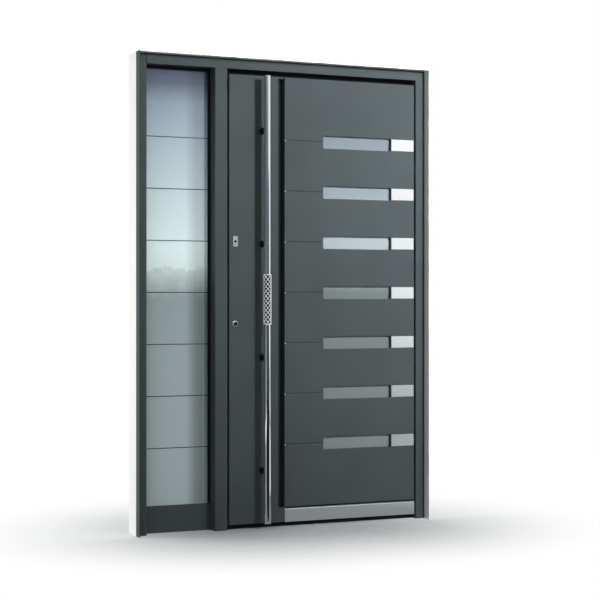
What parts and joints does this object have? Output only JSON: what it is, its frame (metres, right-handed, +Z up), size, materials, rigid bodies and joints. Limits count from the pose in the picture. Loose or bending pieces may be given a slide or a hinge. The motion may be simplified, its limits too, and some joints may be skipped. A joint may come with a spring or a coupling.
{
  "type": "front door with a glazed sidelight",
  "caption": "Flush metal front door with a fixed frosted sidelight, slim frosted lites, steel plates and a full-height round pull bar, hinged at the inside right.",
  "frame": {"origin": "underside of the threshold, at the middle of the frame's width and depth", "axes": "+Z up, -Y towards the outside, +X to the right as seen from outside"},
  "size_m": [1.618, 0.2488, 2.384],
  "materials": {
    "anthracite": "fine matt powder coat",
    "lining": "light matt coat",
    "threshold": "dark anodised",
    "sidelight_glass": "satin with clear lines",
    "lite_glass": "frosted",
    "seal": "matt black",
    "dark_core": "matt dark",
    "dark_metal": "satin dark",
    "brushed_steel": "brushed along its length",
    "polished_steel": "polished",
    "sensor": "gloss black",
    "hinge": "powder coat"
  },
  "bodies": {
    "frame": {"left_jamb": "anthracite", "mullion": "anthracite", "right_jamb": "anthracite", "header": "anthracite", "lining_left": "lining", "lining_top": "lining", "lining_right": "lining", "threshold": "threshold", "sidelight_kick_panel": "anthracite", "sidelight_glass": "sidelight_glass", "glazing_gasket": "seal", "glazing_bead": "anthracite", "door_seal": "seal", "strike_plate": "brushed_steel", "hinge_frame_halves": "hinge"},
    "leaf": {"leaf_core": "dark_core", "lock_faceplate": "brushed_steel", "handle_panel": "anthracite", "channel_ends": "anthracite", "slat_panel": "anthracite", "inside_panel": "anthracite", "lite_1": "lite_glass", "lite_2": "lite_glass", "lite_3": "lite_glass", "lite_4": "lite_glass", "lite_5": "lite_glass", "lite_6": "lite_glass", "lite_7": "lite_glass", "steel_plate_1": "brushed_steel", "steel_plate_2": "brushed_steel", "steel_plate_3": "brushed_steel", "steel_plate_4": "brushed_steel", "steel_plate_5": "brushed_steel", "steel_plate_6": "brushed_steel", "steel_plate_7": "brushed_steel", "kickplate": "brushed_steel", "pull_bar_lower": "polished_steel", "pull_bar_upper": "polished_steel", "grip_core": "dark_metal", "grip_sleeve": "polished_steel", "standoffs": "dark_metal", "reader_plate": "brushed_steel", "reader_sensor": "sensor", "cylinder_rosette": "polished_steel", "lock_cylinder": "dark_metal", "lever_rosette": "brushed_steel", "inside_lever": "brushed_steel", "hinge_leaf_halves": "hinge"}
  },
  "joints": [
    {"name": "door_hinge", "type": "hinge", "parent": "frame", "child": "leaf", "pos_m": [0.773, 0.069, 0], "axis": [0, 0, -1], "range_deg": [0, 100]}
  ]
}
